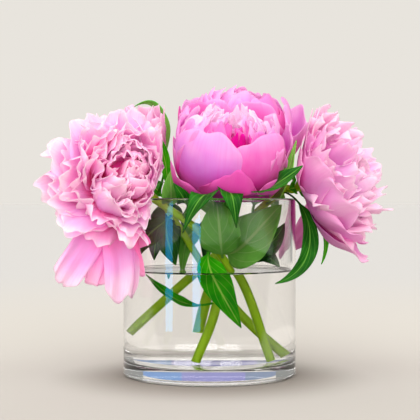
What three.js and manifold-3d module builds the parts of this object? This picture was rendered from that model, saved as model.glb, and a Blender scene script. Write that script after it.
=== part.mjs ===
// Five pink peonies in a clear glass cylinder vase, part filled with water.
// Millimetres, +Z up. The origin is the centre of the vase's flat foot, -Y faces the viewer.
//
// Each stem and its leaves are one green solid, and each flower head is one pink solid that sits
// on the stem's calyx. The stems stand in the water in holes of their own.

import * as THREE from "three";
import { mergeVertices } from "three/addons/utils/BufferGeometryUtils.js";
import Module from "manifold-3d";

const wasm = await Module();
wasm.setup();

// ---------------------------------------------------------------- driving dimensions

const VASE = {
  radius: 76,
  height: 155.5,
  wall: 4,
  base: 12.5,
  footRound: 3.5,
  floorRound: 5,
  segments: 36,
};
const WATER_LEVEL = 92;
const GAP = 0.35; // between solids that touch
const HOLE_GROWTH = 0.5; // how much wider than a stem its hole in the water is, on each side

const STEM_RADIUS = 3.3;
const STEM_SIDES = 7;
const STEM_STEPS = 9;
const NECK_LENGTH = 11; // the straight end of a stem under its flower head
const CALYX_RADIUS = 7.5; // the green cup that the petals stand on
const CALYX_HEIGHT = 7;
const HEAD_SEGMENTS = 8;

const BROADEST = 0.6; // share of a petal's length where it is widest
const CLAW_WIDTH = 0.22; // share of its width that a petal has at its root
const TIP_NARROWING = 0.32; // share of its width that a petal loses by its tip
const TIP_ROUNDING = 0.2; // share of its length by which a petal's tip corners fall back
const ROOT_HEIGHT = 3; // of the petals' roots above the calyx

const SMOOTHING = 0.52; // how far a face may move when small triangles are merged
const PETAL_THICKNESS = 1.1;
const LEAF_THICKNESS = 0.9;
const LEAF_FOLD = 0.22; // how far a leaf's edge rises, as a share of its half width
const STALK_WIDTH = 3;
const STALK_SHARE = 0.22; // of a leaf's length
const TIP_WIDTH = 1.2;
const SEPAL_COUNT = 3;
const SEPAL_LENGTH = 14;
const SEPAL_DROP = 5; // below the petals' roots

const CLEARANCE = 1.7; // from a petal's middle to the plane between two flower heads
const PRESS_LENGTH = 5; // how far from such a plane a petal starts to bend
const RIM_CLEARANCE = 3.2; // from a petal's middle to the glass
const RIM_FADE = 26; // height above the rim from which a petal that hangs over it is led outside

const DEGREE = Math.PI / 180;

// ---------------------------------------------------------------- materials

const glass = new THREE.MeshStandardMaterial({
  color: 0xdfe9ea,
  roughness: 0.03,
  metalness: 0,
  transparent: true,
  opacity: 0.3,
});
const water = new THREE.MeshStandardMaterial({
  color: 0xcfdde2,
  roughness: 0.02,
  metalness: 0,
  transparent: true,
  opacity: 0.3,
});
const stemGreen = new THREE.MeshStandardMaterial({ color: 0x5f8f2c, roughness: 0.5, metalness: 0 });
const petalPink = new THREE.MeshStandardMaterial({ color: 0xf08cc8, roughness: 0.7, metalness: 0 });

// ---------------------------------------------------------------- small tools

const vector = (a) => new THREE.Vector3(...a);
const mix = THREE.MathUtils.lerp;
const clamp = THREE.MathUtils.clamp;

// A repeatable random number from -1 to 1 for any pair of numbers.
function scatter(seed, k) {
  const wave = Math.sin(seed * 127.1 + k * 311.7) * 43758.5453;
  return 2 * (wave - Math.floor(wave)) - 1;
}

// x unchanged well above low, and bent smoothly so that it never falls below it.
function keepAbove(x, low, reach) {
  const t = (x - low) / reach;
  return t > 30 ? x : low + reach * Math.log1p(Math.exp(t));
}

function toSolid(geometry) {
  const bare = new THREE.BufferGeometry();
  bare.setAttribute("position", geometry.getAttribute("position"));
  if (geometry.index) bare.setIndex(geometry.index);
  const merged = mergeVertices(bare, 1e-4);
  const mesh = new wasm.Mesh({
    numProp: 3,
    vertProperties: merged.attributes.position.array,
    triVerts: new Uint32Array(merged.index.array),
  });
  return new wasm.Manifold(mesh);
}

// The largest body of a solid, without sealed hollows and loose scraps.
function oneBody(solid) {
  const bodies = solid.simplify(SMOOTHING).decompose();
  return bodies.reduce((best, body) => (body.volume() > best.volume() ? body : best));
}

// A profile of (radius, height) points turned round Z.
function revolve(profile, segments) {
  const points = profile.map(([r, z]) => new THREE.Vector2(r, z));
  return new THREE.LatheGeometry(points, segments).rotateX(Math.PI / 2);
}

function toGeometry(solid) {
  const mesh = solid.getMesh();
  const geometry = new THREE.BufferGeometry();
  geometry.setAttribute("position", new THREE.BufferAttribute(mesh.vertProperties, mesh.numProp));
  geometry.setIndex(new THREE.BufferAttribute(mesh.triVerts, 1));
  geometry.computeVertexNormals();
  return geometry;
}

function named(name, geometry, material) {
  const mesh = new THREE.Mesh(geometry, material);
  mesh.name = name;
  return mesh;
}

// A closed thin blade around the surface at(u, v), for u from 0 at the root to 1 at the tip and
// v from -1 to 1 across. Both faces are split into the same triangles.
function blade(at, alongCount, acrossCount, thickness) {
  const rows = alongCount + 1;
  const columns = acrossCount + 1;
  const middle = [];
  for (let i = 0; i < rows; i++)
    for (let j = 0; j < columns; j++) middle.push(at(i / alongCount, (2 * j) / acrossCount - 1));
  const point = (i, j) => middle[clamp(i, 0, alongCount) * columns + clamp(j, 0, acrossCount)];
  const positions = [];
  for (const side of [1, -1])
    for (let i = 0; i < rows; i++)
      for (let j = 0; j < columns; j++) {
        const along = point(i + 1, j).clone().sub(point(i - 1, j));
        const across = point(i, j + 1).clone().sub(point(i, j - 1));
        const normal = across.cross(along).normalize();
        positions.push(...normal.multiplyScalar((side * thickness) / 2).add(point(i, j)));
      }
  const count = rows * columns;
  const faces = [];
  const quad = (a, b, c, d) => faces.push(a, b, c, a, c, d);
  for (let i = 0; i < alongCount; i++)
    for (let j = 0; j < acrossCount; j++) {
      const a = i * columns + j;
      const b = a + 1;
      const c = a + columns + 1;
      const d = a + columns;
      faces.push(a, b, c, a, c, d);
      faces.push(count + a, count + c, count + b, count + a, count + d, count + c);
    }
  for (let j = 0; j < acrossCount; j++) {
    const tip = alongCount * columns + j;
    quad(count + j, count + j + 1, j + 1, j);
    quad(tip, tip + 1, count + tip + 1, count + tip);
  }
  for (let i = 0; i < alongCount; i++) {
    const left = i * columns;
    const right = left + acrossCount;
    quad(left, left + columns, count + left + columns, count + left);
    quad(count + right, count + right + columns, right + columns, right);
  }
  const geometry = new THREE.BufferGeometry();
  geometry.setAttribute("position", new THREE.Float32BufferAttribute(positions, 3));
  geometry.setIndex(faces);
  return toSolid(geometry);
}

// ---------------------------------------------------------------- the vase and the water

// Points of a quarter round in (radius, height), from one angle to another.
function quarter(centreRadius, centreHeight, size, from, to, steps) {
  return Array.from({ length: steps + 1 }, (_, i) => {
    const angle = mix(from, to, i / steps) * DEGREE;
    return [centreRadius + size * Math.cos(angle), centreHeight + size * Math.sin(angle)];
  });
}

// A straight glass cylinder with a thick base, a rounded foot and a fire-polished lip.
function vaseGeometry() {
  const { radius, height, wall, base, footRound, floorRound } = VASE;
  const lip = wall / 2;
  const profile = [
    [0, 0],
    ...quarter(radius - footRound, footRound, footRound, -90, 0, 2),
    ...quarter(radius - lip, height - lip, lip, 0, 180, 4),
    ...quarter(radius - wall - floorRound, base + floorRound, floorRound, 0, -90, 2),
    [0, base],
  ];
  return revolve(profile, VASE.segments);
}

// The water fills the vase to its level, less the gap to the glass.
function waterBody() {
  const radius = VASE.radius - VASE.wall - GAP;
  const floor = VASE.base + GAP;
  const round = VASE.floorRound;
  const profile = [
    [0, floor],
    ...quarter(radius - round, floor + round, round, -90, 0, 2),
    [radius, WATER_LEVEL],
    [0, WATER_LEVEL],
  ];
  return toSolid(revolve(profile, VASE.segments));
}

// ---------------------------------------------------------------- flower heads

// The petals of a head stand on its seat, round its axis. Azimuth 0 is to the viewer's right,
// 90 up or away, 180 left and 270 down or towards the viewer. A petal leaves the seat at the
// angle "start" from the axis and has turned to "end" at its tip: over 90 it hangs, and under 0
// it closes over the middle.
//
// guards: the large outer petals, one row each of azimuth, length, width, start, end.
// rings: the petals inside them, a ring each, placed evenly with a seeded scatter.
const HEADS = [
  {
    name: "front",
    seat: [11, -10, 159.5],
    axis: [0.12, -0.44, 0.89],
    core: [28, 34],
    guards: [
      [244, 100, 92, 96, -46],
      [306, 98, 90, 96, -48],
      [276, 62, 48, 108, 30],
      [314, 60, 42, 90, 20],
      [194, 94, 88, 84, -38],
      [208, 64, 46, 82, 34],
      [345, 100, 88, 88, -36],
      [62, 84, 92, 88, -48],
      [122, 84, 92, 88, -48],
    ],
    rings: [
      { count: 3, length: 82, width: 62, start: 78, end: -56, wrap: 0.7, turn: 30 },
      { count: 1, length: 58, width: 50, start: 30, end: -36, wrap: 0.7, turn: 90 },
    ],
    ruffle: 2.4,
    seed: 11,
  },
  {
    name: "back",
    seat: [27, 32, 176],
    axis: [0.02, -0.14, 0.99],
    core: [33, 48],
    guards: [
      [186, 98, 84, 92, -12],
      [238, 96, 74, 88, -14],
      [290, 94, 74, 86, -14],
      [344, 98, 84, 92, -10],
      [28, 98, 82, 90, -10],
      [84, 98, 80, 90, -12],
      [138, 98, 80, 90, -12],
    ],
    rings: [
      { count: 3, length: 94, width: 84, start: 76, end: -40, wrap: 0.7, turn: 30 },
      { count: 2, length: 88, width: 66, start: 52, end: -44, wrap: 0.7, turn: 270 },
    ],
    ruffle: 3,
    seed: 23,
  },
  {
    name: "right",
    seat: [81, -18, 167],
    axis: [0.85, -0.36, 0.36],
    core: [26, 32],
    guards: [
      [228, 72, 62, 106, 30],
      [258, 76, 66, 106, 24],
      [290, 78, 64, 106, 30],
      [317, 84, 54, 106, 38],
      [345, 74, 62, 104, 36],
      [200, 62, 54, 100, 40],
      [20, 74, 64, 102, 34],
      [62, 72, 62, 98, 30],
      [108, 70, 60, 94, 26],
      [155, 66, 54, 94, 34],
    ],
    rings: [
      { count: 4, length: 75, width: 58, start: 72, end: 2, wrap: 0.5, turn: 25 },
      { count: 2, length: 68, width: 54, start: 40, end: -18, wrap: 0.6, turn: 0 },
    ],
    ruffle: 3.2,
    seed: 37,
  },
  {
    name: "left",
    seat: [-77, -40, 166],
    axis: [0.38, -0.86, 0.34],
    core: [24, 32],
    guards: [
      [256, 94, 34, 100, 115],
      [278, 92, 42, 100, 108],
      [312, 88, 52, 100, 96],
      [225, 66, 48, 104, 66],
      [196, 68, 52, 102, 58],
      [166, 68, 52, 100, 54],
      [136, 66, 52, 98, 50],
      [100, 60, 52, 96, 48],
      [60, 50, 50, 96, 46],
      [20, 46, 50, 98, 50],
      [340, 54, 48, 98, 64],
    ],
    rings: [
      { count: 3, length: 63, width: 64, start: 88, end: 20, wrap: 0.5, turn: 78 },
      { count: 3, length: 55, width: 50, start: 80, end: -44, wrap: 0.7, turn: 45 },
    ],
    ruffle: 3.2,
    seed: 41,
  },
  {
    name: "rear_left",
    seat: [-58, 27, 172],
    axis: [-0.22, -0.2, 0.95],
    core: [24, 36],
    guards: [
      [100, 74, 60, 66, 0],
      [155, 74, 58, 72, 4],
      [208, 66, 54, 78, 12],
      [262, 64, 52, 76, 6],
      [318, 64, 52, 74, 4],
      [30, 70, 56, 68, 2],
    ],
    rings: [
      { count: 3, length: 66, width: 52, start: 52, end: -10, wrap: 0.6, turn: 30 },
      { count: 1, length: 68, width: 38, start: 22, end: -14, wrap: 0.5, turn: 90 },
    ],
    ruffle: 3,
    seed: 53,
  },
];

// Where two heads press on each other, each stays on its own side of a plane through "at".
// "towards" points to the second head.
const PRESSED = [
  { heads: ["front", "back"], at: [20, 2, 205], towards: [0.1, 0.82, 0.56] },
  { heads: ["front", "right"], at: [69, -30, 180], towards: [0.97, 0.05, -0.22] },
  { heads: ["front", "left"], at: [-37.5, -38, 180], towards: [-1, -0.02, 0.05] },
  { heads: ["front", "rear_left"], at: [-33, 2, 195], towards: [-0.86, 0.48, 0.1] },
  { heads: ["back", "right"], at: [84, 18, 195], towards: [0.9, -0.3, -0.32] },
  { heads: ["back", "rear_left"], at: [-36, 30, 205], towards: [-0.99, 0, -0.05] },
  { heads: ["left", "rear_left"], at: [-66, -4, 200], towards: [0.28, 0.86, 0.4] },
];

// A head's own frame: +Z along its axis, +X to the viewer's right.
function frameOf(seat, axis) {
  const z = vector(axis).normalize();
  const x = new THREE.Vector3(1, 0, 0).addScaledVector(z, -z.x).normalize();
  const y = z.clone().cross(x);
  return new THREE.Matrix4().makeBasis(x, y, z).setPosition(vector(seat));
}

// Bends a point of a head clear of the heads beside it and of the vase.
function bendClear(point, head) {
  for (const { heads, at, towards } of PRESSED) {
    if (!heads.includes(head.name)) continue;
    const side = heads[0] === head.name ? -1 : 1;
    const normal = vector(towards).normalize().multiplyScalar(side);
    const depth = point.clone().sub(vector(at)).dot(normal);
    point.addScaledVector(normal, keepAbove(depth, CLEARANCE, PRESS_LENGTH) - depth);
  }
  const seatReach = Math.hypot(head.seat[0], head.seat[1]);
  const reach = Math.hypot(point.x, point.y);
  if (seatReach < VASE.radius) {
    point.z = keepAbove(point.z, VASE.height + RIM_CLEARANCE, 2);
  } else {
    const grown = keepAbove(reach, VASE.radius + RIM_CLEARANCE, 3) / reach;
    const share = clamp((VASE.height + RIM_FADE - point.z) / (RIM_FADE - 2 * RIM_CLEARANCE), 0, 1);
    point.x *= mix(1, grown, share);
    point.y *= mix(1, grown, share);
  }
  return point;
}

// The middle surface of one petal in its head's own frame. Its outline is narrow at the claw,
// broadest past the middle and round at the tip. "wrap" rolls it round the axis, "cup" hollows
// it like a spoon, and "ruffle" waves its edge. It is drawn from the share "from" of its length.
function petalSurface(petal) {
  const { azimuth, length, width, start, end, wrap, cup, ruffle, phase, twist, root, from } = petal;
  const outward = new THREE.Vector3(Math.cos(azimuth), Math.sin(azimuth), 0);
  const sideways = new THREE.Vector3(-Math.sin(azimuth), Math.cos(azimuth), 0);
  const turn = Math.abs(end - start) < 0.02 ? 0.02 : end - start;
  return (share, v) => {
    const u = mix(from, 1, share);
    const s = u - TIP_ROUNDING * u ** 3 * v * v;
    const angle = start + turn * s;
    const r = root + (length / turn) * (Math.cos(start) - Math.cos(angle));
    const z = ROOT_HEIGHT + (length / turn) * (Math.sin(angle) - Math.sin(start));
    const belly = Math.sin((Math.PI / 2) * Math.min(1, u / BROADEST)) ** 0.9;
    const tip = 1 - TIP_NARROWING * (Math.max(0, u - BROADEST) / (1 - BROADEST)) ** 2;
    const across = v * (width / 2) * mix(CLAW_WIDTH, 1, belly) * tip;
    const roll = Math.max(10, Math.abs(r)) / wrap;
    const lean = twist * u;
    const inward = outward.clone().multiplyScalar(-Math.cos(angle));
    inward.z += Math.sin(angle);
    const lift =
      cup * 2 * across ** 2 / width +
      ruffle * u ** 2 * (0.25 + 0.75 * Math.abs(v)) * Math.sin(2.6 * Math.PI * v + phase) +
      ruffle * 0.5 * u ** 4 * Math.sin(5 * v + 2 * phase);
    const point = outward.clone().multiplyScalar(r - roll * (1 - Math.cos(across / roll)));
    point.z = z;
    point.addScaledVector(sideways, roll * Math.sin(across / roll) * Math.cos(lean));
    point.addScaledVector(inward, lift + across * Math.sin(lean));
    return point;
  };
}

// Every petal of a head, outermost first.
function petalsOf(head) {
  const petals = head.guards.map(([azimuth, length, width, start, end], k) => ({
    azimuth: azimuth * DEGREE,
    length,
    width,
    start: start * DEGREE,
    end: end * DEGREE,
    wrap: 0.55,
    cup: end > 90 ? 0.1 : 0.2,
    ruffle: 0.8 * head.ruffle,
    phase: 3 * scatter(head.seed, k),
    twist: 0.15 * scatter(head.seed, k + 20),
    root: 6,
    from: 0.08,
    along: 3,
    across: 3,
  }));
  head.rings.forEach((ring, level) => {
    for (let i = 0; i < ring.count; i++) {
      const k = 40 + 30 * level + i;
      const around = ring.turn + (360 / ring.count) * (i + 0.25 * scatter(head.seed, k));
      const swing = 6 * scatter(head.seed, k + 100);
      petals.push({
        azimuth: around * DEGREE,
        length: ring.length * (1 + 0.06 * scatter(head.seed, k + 200)),
        width: ring.width * (1 + 0.12 * scatter(head.seed, k + 300)),
        start: (ring.start + swing) * DEGREE,
        end: (ring.end + swing) * DEGREE,
        wrap: ring.wrap,
        cup: 0.2,
        ruffle: head.ruffle,
        phase: 3 * scatter(head.seed, k + 400),
        twist: 0.3 * scatter(head.seed, k + 500),
        root: 5 - level,
        from: 0.3,
        along: 2,
        across: 3,
      });
    }
  });
  return petals;
}

// The packed middle of a head, which the petals' roots are sunk in.
function coreOf(head, frame, inverse) {
  const [radius, height] = head.core;
  const profile = [
    [0, GAP],
    [CALYX_RADIUS, GAP],
    [radius * 0.8, height * 0.28],
    [radius, height * 0.55],
    [radius * 0.78, height * 0.84],
    [0, height],
  ];
  const geometry = revolve(profile, HEAD_SEGMENTS);
  const place = geometry.getAttribute("position");
  for (let i = 0; i < place.count; i++) {
    const point = new THREE.Vector3().fromBufferAttribute(place, i);
    if (point.z < 2 * GAP) continue;
    bendClear(point.applyMatrix4(frame), head).applyMatrix4(inverse);
    place.setXYZ(i, point.x, point.y, point.z);
  }
  return toSolid(geometry);
}

function headMesh(head) {
  const frame = frameOf(head.seat, head.axis);
  const inverse = frame.clone().invert();
  let solid = coreOf(head, frame, inverse);
  for (const petal of petalsOf(head)) {
    const surface = petalSurface(petal);
    const clear = (u, v) =>
      bendClear(surface(u, v).applyMatrix4(frame), head).applyMatrix4(inverse);
    solid = solid.add(blade(clear, petal.along, petal.across, PETAL_THICKNESS));
  }
  const mesh = named("bloom_" + head.name, toGeometry(oneBody(solid)), petalPink);
  mesh.applyMatrix4(frame);
  return mesh;
}

// ---------------------------------------------------------------- leafy stems

// route: the stem's middle line from its cut end to just under the calyx.
// leaves: one row each, with the share of the stem's length that the leaf grows from, the two
// points that its curve leans towards, its tip, its width and the way its upper face looks.
const STEMS = [
  {
    name: "front",
    route: [[-9.5, -8, 14], [3.5, -9, 57], [7, -5, 95], [3, 0, 130]],
    leaves: [
      [0.74, [4, -30, 140], [4, -66, 169], [-21, -64, 130], 21, [-0.4, -0.7, 0.6]],
      [0.78, [12, -30, 140], [16, -64, 170], [22, -62, 130], 19, [0.3, -0.7, 0.6]],
      [0.36, [-14, -24, 58], [-30, -26, 70], [-47, -22, 90], 14, [0.2, -0.5, 0.85]],
    ],
  },
  {
    name: "back",
    route: [[-7, 32, 36], [-2, 34, 65], [8, 37, 108], [20, 36, 148]],
    leaves: [
      [0.72, [14, 62, 172], [16, 92, 182], [14, 98, 130], 22, [0, 0.7, 0.6]],
      [0.8, [42, 50, 172], [64, 70, 182], [70, 74, 128], 24, [0.6, 0.5, 0.6]],
      [0.6, [30, 44, 110], [48, 38, 120], [58, 36, 146], 20, [-0.5, -0.7, 0.3]],
    ],
  },
  {
    name: "right",
    route: [[-52, 12, 36], [-9, 10, 90], [25, 3, 126], [52, -8, 153], [68, -13, 164]],
    leaves: [
      [0.5, [20, -22, 98], [34, -36, 122], [61, -26, 150], 44, [-0.3, -0.85, 0.3]],
      [0.6, [30, -16, 106], [50, -26, 104], [64, -22, 134], 24, [0.1, -0.9, 0.3]],
      [0.64, [34, -10, 112], [50, -14, 108], [60, -22, 96], 17, [0.1, -0.8, 0.5]],
      [0.9, [85, -45, 158], [87, -55, 118], [65, -57, 86], 12, [0.5, -0.8, 0.3]],
      [0.72, [36, -38, 150], [41, -76, 161], [76, -75, 181], 22, [0.1, -0.6, 0.7]],
      [0.8, [60, -46, 156], [66, -62, 174], [74, -36, 203], 17, [-0.9, -0.4, 0.2]],
      [0.94, [90, 14, 168], [112, 6, 126], [99, 2, 97], 12, [0.7, -0.5, 0.4]],
    ],
  },
  {
    name: "left",
    route: [[42, -4, 14], [19, -12, 91], [-8, -22, 126], [-42, -26, 151], [-62, -28, 163]],
    leaves: [
      [0.43, [10, -34, 104], [8, -56, 118], [8, -63, 151], 32, [0, -0.9, -0.4]],
      [0.5, [-2, -34, 122], [0, -58, 96], [25, -56, 47], 24, [0.2, -0.95, 0.2]],
      [0.74, [-30, -30, 150], [-34, -52, 160], [-32, -57, 179], 19, [0.2, -0.9, 0.3]],
      [0.66, [-14, -40, 140], [-18, -58, 152], [-30, -60, 168], 15, [-0.3, -0.7, 0.6]],
      [0.7, [-40, -20, 130], [-56, -14, 130], [-62, -12, 104], 20, [0.3, -0.9, 0.3]],
      [0.72, [-38, 4, 170], [-34, -14, 218], [-66, -20, 215], 9, [-0.28, -0.86, -0.4]],
    ],
  },
  {
    name: "rear_left",
    route: [[46, 22, 15.5], [18, 18, 55], [-8, 23, 98], [-34, 27, 138], [-52, 28, 158]],
    leaves: [
      [0.9, [-36, 62, 180], [-34, 66, 262], [-70, 60, 241], 20, [0.3, 0.3, 0.9]],
      [0.8, [-46, 44, 172], [-64, 64, 182], [-72, 72, 126], 22, [-0.6, 0.5, 0.6]],
    ],
  },
];

// The stem's middle line, from its cut end to inside the calyx. "grow" lengthens the cut end.
function stemCurve(stem, head, grow) {
  const axis = vector(head.axis).normalize();
  const seat = vector(head.seat);
  const route = stem.route.map(vector);
  const outward = route[0].clone().sub(route[1]).normalize();
  route[0].addScaledVector(outward, grow);
  const neck = seat.clone().addScaledVector(axis, -NECK_LENGTH);
  const end = seat.clone().addScaledVector(axis, -CALYX_HEIGHT / 4);
  return new THREE.CatmullRomCurve3([...route, neck, end], false, "centripetal");
}

function stemRod(curve, radius) {
  const rim = Array.from({ length: STEM_SIDES }, (_, k) => {
    const turn = (2 * Math.PI * k) / STEM_SIDES;
    return new THREE.Vector2(radius * Math.cos(turn), radius * Math.sin(turn));
  });
  const path = { steps: STEM_STEPS, extrudePath: curve };
  return toSolid(new THREE.ExtrudeGeometry(new THREE.Shape(rim), path));
}

// The green cup at the stem's end, with its flat top under the petals.
function calyx(head) {
  const geometry = revolve(
    [[0, -CALYX_HEIGHT], [STEM_RADIUS, -CALYX_HEIGHT], [CALYX_RADIUS, -1], [CALYX_RADIUS, 0], [0, 0]],
    HEAD_SEGMENTS,
  );
  return toSolid(geometry.applyMatrix4(frameOf(head.seat, head.axis)));
}

// The middle surface of a leaf: a narrow stalk, then a pointed blade, folded a little along its
// midrib. "grow" widens and lengthens it.
function leafSurface(leaf, curve, grow) {
  const [at, by, over, tip, width, upper] = leaf;
  const root = curve.getPointAt(at);
  const line = new THREE.CubicBezierCurve3(root, vector(by), vector(over), vector(tip));
  const face = vector(upper).normalize();
  return (u, v) => {
    const along = line.getTangent(u);
    const side = along.clone().cross(face).normalize();
    const up = side.clone().cross(along).normalize();
    const share = clamp((u - STALK_SHARE) / (1 - STALK_SHARE), 0, 1);
    const belly = Math.sin(Math.PI * share ** 0.8) ** 0.85;
    const half = grow + Math.max(mix(STALK_WIDTH, TIP_WIDTH, u), width * belly) / 2;
    return line
      .getPoint(u)
      .addScaledVector(side, v * half)
      .addScaledVector(up, LEAF_FOLD * Math.abs(v) * half)
      .addScaledVector(along, grow * u ** 4);
  };
}

// The small green bracts under a head, spread below its petals.
function sepals(head) {
  const frame = frameOf(head.seat, head.axis);
  return Array.from({ length: SEPAL_COUNT }, (_, i) => {
    const azimuth = (2 * Math.PI * (i + 0.2 * scatter(head.seed, i + 60))) / SEPAL_COUNT;
    const surface = petalSurface({
      azimuth,
      length: SEPAL_LENGTH,
      width: 12,
      start: 118 * DEGREE,
      end: 100 * DEGREE,
      wrap: 0.4,
      cup: 0.1,
      ruffle: 0,
      phase: 0,
      twist: 0,
      root: 4,
      from: 0,
    });
    const below = new THREE.Vector3(0, 0, -SEPAL_DROP);
    const at = (u, v) => surface(u, v).add(below).applyMatrix4(frame);
    return blade(at, 2, 2, LEAF_THICKNESS);
  });
}

// One stem with its calyx, bracts and leaves. "grow" thickens it all round, for its hole in the
// water.
function leafyStem(stem, grow) {
  const head = HEADS.find((h) => h.name === stem.name);
  const curve = stemCurve(stem, head, grow);
  let solid = stemRod(curve, STEM_RADIUS + grow);
  for (const leaf of stem.leaves) {
    const surface = leafSurface(leaf, curve, grow);
    solid = solid.add(blade(surface, 5, 2, LEAF_THICKNESS + 2 * grow));
  }
  if (!grow) for (const piece of [calyx(head), ...sepals(head)]) solid = solid.add(piece);
  return oneBody(solid);
}

// ---------------------------------------------------------------- the assembly

const peonies = new THREE.Group();
peonies.add(named("vase", vaseGeometry(), glass));

let filling = waterBody();
for (const stem of STEMS) filling = filling.subtract(leafyStem(stem, HOLE_GROWTH));
peonies.add(named("water", toGeometry(oneBody(filling)), water));

for (const stem of STEMS)
  peonies.add(named("stem_" + stem.name, toGeometry(leafyStem(stem, 0)), stemGreen));
for (const head of HEADS) peonies.add(headMesh(head));

export default peonies;
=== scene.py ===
# Five pink peonies in a clear glass cylinder vase, part filled with water.
# Everything is in metres in the CAD model's frame: +Z up, -Y towards the viewer. Sizes inside the
# shape functions are in millimetres and are turned to metres where the mesh is made.

import math

import bpy
import numpy as np
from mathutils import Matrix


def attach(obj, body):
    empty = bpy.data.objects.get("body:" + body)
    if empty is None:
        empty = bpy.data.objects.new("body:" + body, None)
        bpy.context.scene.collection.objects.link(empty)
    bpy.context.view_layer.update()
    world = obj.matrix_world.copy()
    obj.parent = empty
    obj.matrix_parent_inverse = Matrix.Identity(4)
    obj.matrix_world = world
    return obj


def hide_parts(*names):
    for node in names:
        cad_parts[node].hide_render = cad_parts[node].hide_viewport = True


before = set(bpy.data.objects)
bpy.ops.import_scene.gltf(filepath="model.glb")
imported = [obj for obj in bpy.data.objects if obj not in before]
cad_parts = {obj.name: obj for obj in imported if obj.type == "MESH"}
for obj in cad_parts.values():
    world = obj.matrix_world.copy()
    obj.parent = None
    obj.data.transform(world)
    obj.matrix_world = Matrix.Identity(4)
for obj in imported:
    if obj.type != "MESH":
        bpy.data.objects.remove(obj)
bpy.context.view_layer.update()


# ---------------- camera
# A long lens at the height of the vase's rim, 1.09 m from its axis: the rim shows as a line and
# the foot as a shallow curve.

SENSOR_WIDTH = 36
PICTURE_PIXELS = 420
FOCAL_PIXELS = 1230
HORIZON_PIXELS = 10

camera_data = bpy.data.cameras.new("camera")
camera_data.sensor_width = SENSOR_WIDTH
camera_data.lens = SENSOR_WIDTH * FOCAL_PIXELS / PICTURE_PIXELS
camera = bpy.data.objects.new("camera", camera_data)
camera.location = (0.0004, -1.087, 0.154)
camera.rotation_euler = (math.radians(90) - math.atan(HORIZON_PIXELS / FOCAL_PIXELS), 0, 0)
bpy.context.collection.objects.link(camera)
bpy.context.scene.camera = camera
bpy.context.scene.view_settings.view_transform = "Standard"


# ---------------- studio floor and backdrop
# A wide sheet of matt, warm white paper that runs out of sight, so that floor and backdrop meet
# without a line. Its tone is painted: a painted shadow round the vase's foot, painted shade in
# front of it, and painted light behind it that lifts the flowers' shadow there.

SMOOTH = {"interpolation_type": "SMOOTHSTEP"}
STUDIO_WHITE = "#e8e4dd"
PAINTED_SHADE_IN_FRONT = "#aeaba6"
PAINTED_LIGHT_BEHIND = "#b8b5b0"
PAINTED_SHADOW_UNDER_VASE = "#8a847d"
PAPER_FAR_OFF = "#b4b3b2"
FLOOR_RADIUS = 40
FLOOR_DROP = 0.0002
SHADE_SHIFT = (0, 0.02, 0)


def linear(colour):
    """An sRGB hex colour as a linear RGBA tuple."""
    channels = [int(colour[i : i + 2], 16) / 255 for i in (1, 3, 5)]
    bent = [c / 12.92 if c <= 0.04045 else ((c + 0.055) / 1.055) ** 2.4 for c in channels]
    return (*bent, 1.0)


def add_node(tree, kind, settings=None, links=None):
    """Adds a shader node, sets its properties or sockets, and links its sockets to outputs.

    A node that stands for an output means its first one. Map Range has From Min, From Max, To Min
    and To Max as sockets 1 to 4. Mix has its colours as sockets 6 and 7, and mixes to output 2.
    """
    node = tree.nodes.new("ShaderNode" + kind)
    for name, value in (settings or {}).items():
        if isinstance(name, str) and hasattr(node, name):
            setattr(node, name, value)
        else:
            node.inputs[name].default_value = value
    for name, source in (links or {}).items():
        output = source.outputs[0] if isinstance(source, bpy.types.Node) else source
        tree.links.new(output, node.inputs[name])
    return node


def new_material(name):
    """An empty node material and its tree."""
    material = bpy.data.materials.new(name)
    material.use_nodes = True
    material.node_tree.nodes.clear()
    return material, material.node_tree


def select_only(*objects):
    """Selects these objects alone, or nothing, and makes the first one active."""
    bpy.ops.object.select_all(action="DESELECT")
    for obj in objects:
        obj.select_set(True)
    if objects:
        bpy.context.view_layer.objects.active = objects[0]


world = bpy.data.worlds.new("studio")
world.use_nodes = True
sky = world.node_tree
sky.nodes.clear()
direction = add_node(sky, "TexCoord")
height = add_node(sky, "SeparateXYZ", None, {0: direction.outputs["Generated"]})
ceiling = add_node(
    sky, "MapRange", {**SMOOTH, 1: 0.22, 2: 0.85, 3: 1.0, 4: 1.65}, {0: height.outputs["Z"]}
)
studio_light = add_node(sky, "Background", {"Color": linear(STUDIO_WHITE)}, {"Strength": ceiling})
add_node(sky, "OutputWorld", None, {"Surface": studio_light})
bpy.context.scene.world = world

select_only()
bpy.ops.mesh.primitive_circle_add(
    vertices=96, radius=FLOOR_RADIUS, fill_type="NGON", location=(0, 0, -FLOOR_DROP)
)
floor = bpy.context.active_object
floor.name = "paper_floor"
paper, tree = new_material("matt white paper")
place = add_node(tree, "TexCoord")
moved = add_node(
    tree, "VectorMath", {"operation": "ADD", 1: SHADE_SHIFT}, {0: place.outputs["Object"]}
)
reach = add_node(tree, "VectorMath", {"operation": "LENGTH"}, {0: moved})
depth_way = add_node(tree, "SeparateXYZ", None, {0: place.outputs["Object"]})
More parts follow.
